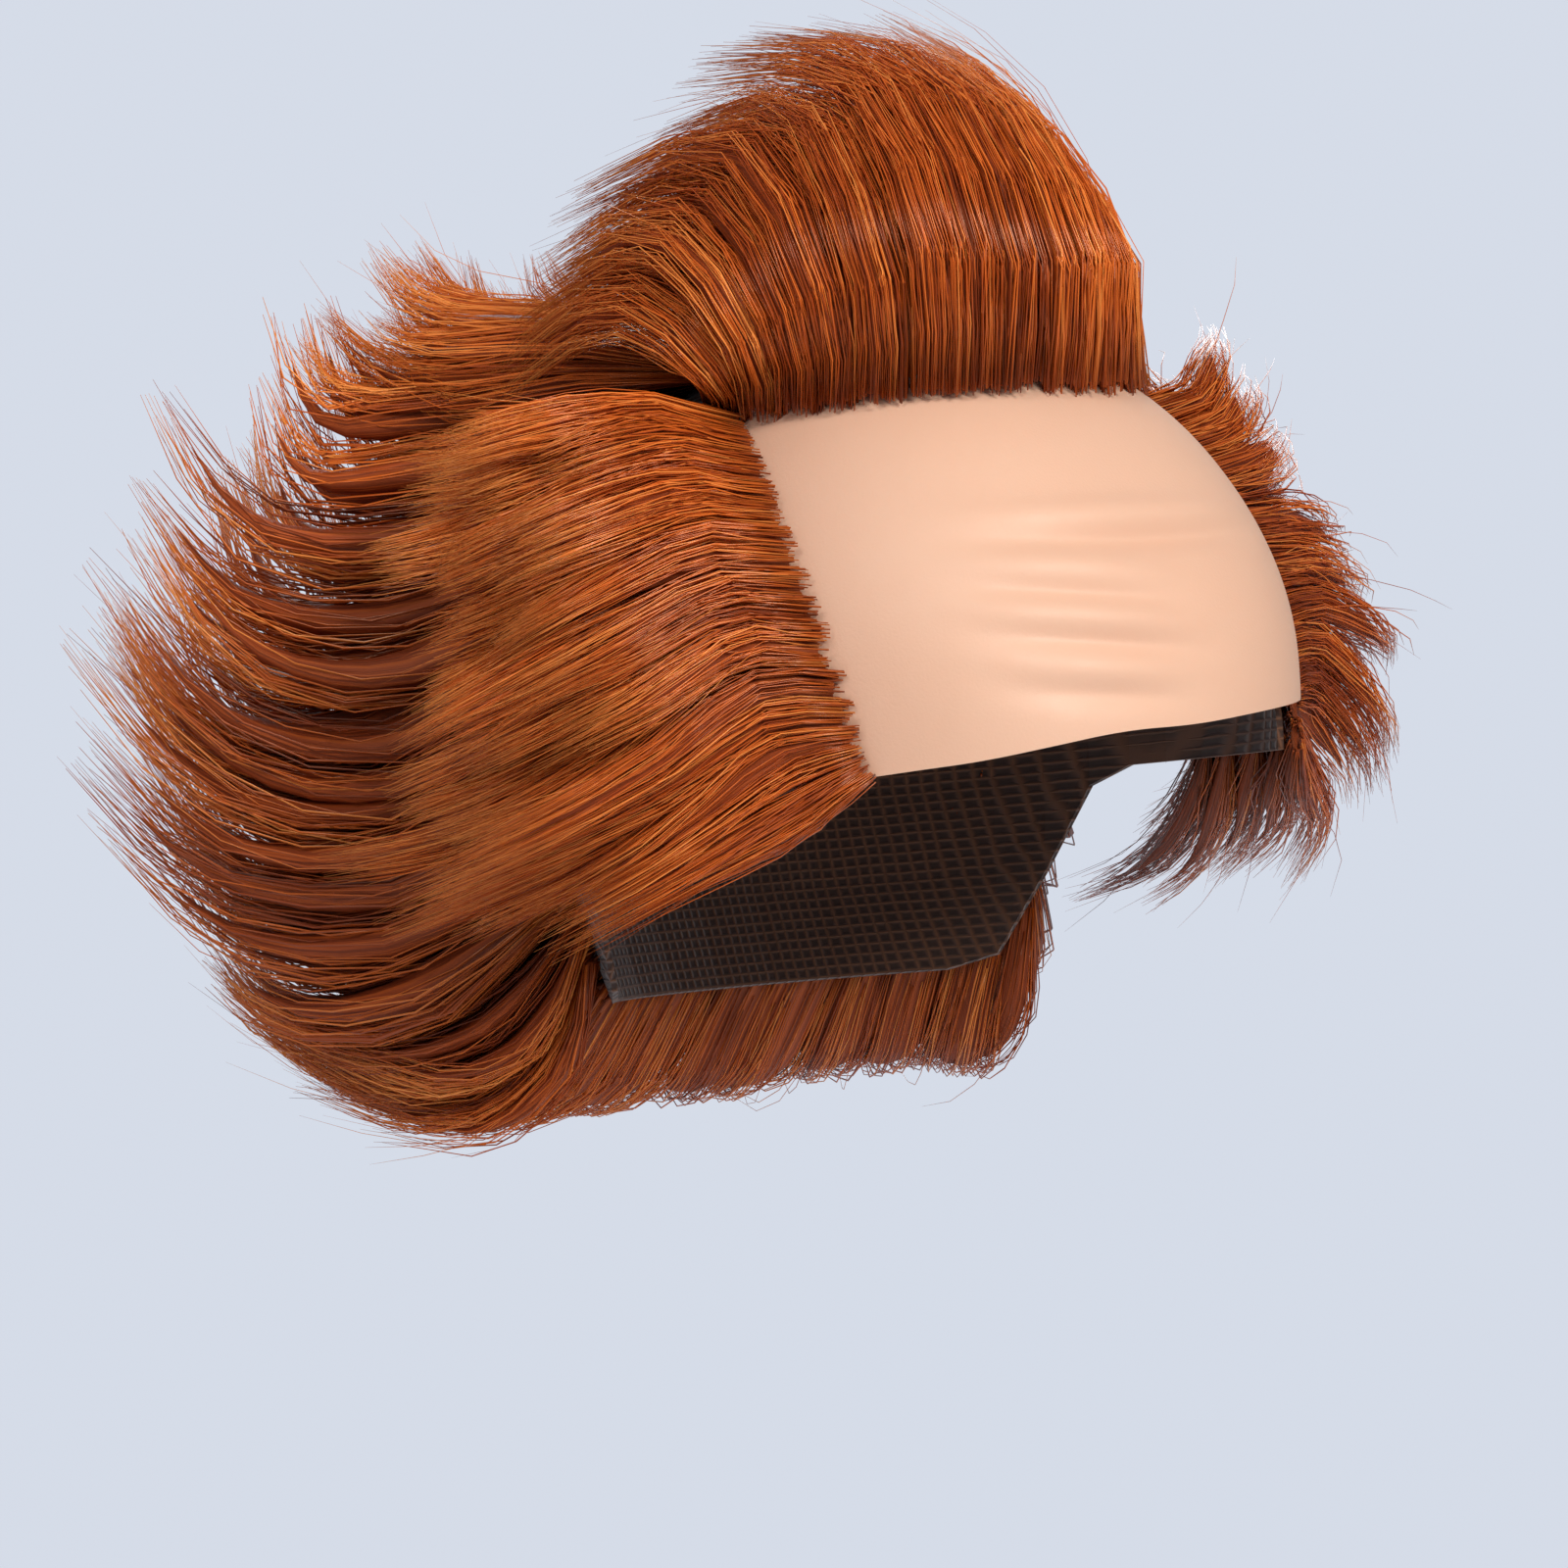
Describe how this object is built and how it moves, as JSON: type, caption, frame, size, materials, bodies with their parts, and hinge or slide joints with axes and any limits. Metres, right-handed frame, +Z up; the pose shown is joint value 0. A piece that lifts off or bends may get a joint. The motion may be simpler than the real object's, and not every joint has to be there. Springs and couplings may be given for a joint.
{
  "type": "clown wig",
  "caption": "Bald-front clown wig: moulded forehead with soft folds on a net cap, a tall front quiff, side tufts and back hair with flipped-up tips.",
  "frame": {"origin": "inside of the cap at the top of the crown, where a head carries the wig", "axes": "+Z up along the worn wig, -Y towards the face, -X towards the wearer's right ear"},
  "size_m": [0.2932, 0.2933, 0.2796],
  "materials": {
    "net": "dark brown wig net",
    "vinyl": "satin flesh-coloured moulded vinyl",
    "hair": "glossy auburn synthetic hair"
  },
  "bodies": {
    "root": {"wig_cap": "net", "forehead_piece": "vinyl", "quiff_hair": "hair", "side_hair_right": "hair", "side_hair_left": "hair", "crown_hair": "hair", "back_hair": "hair", "nape_hair": "hair"}
  },
  "joints": []
}
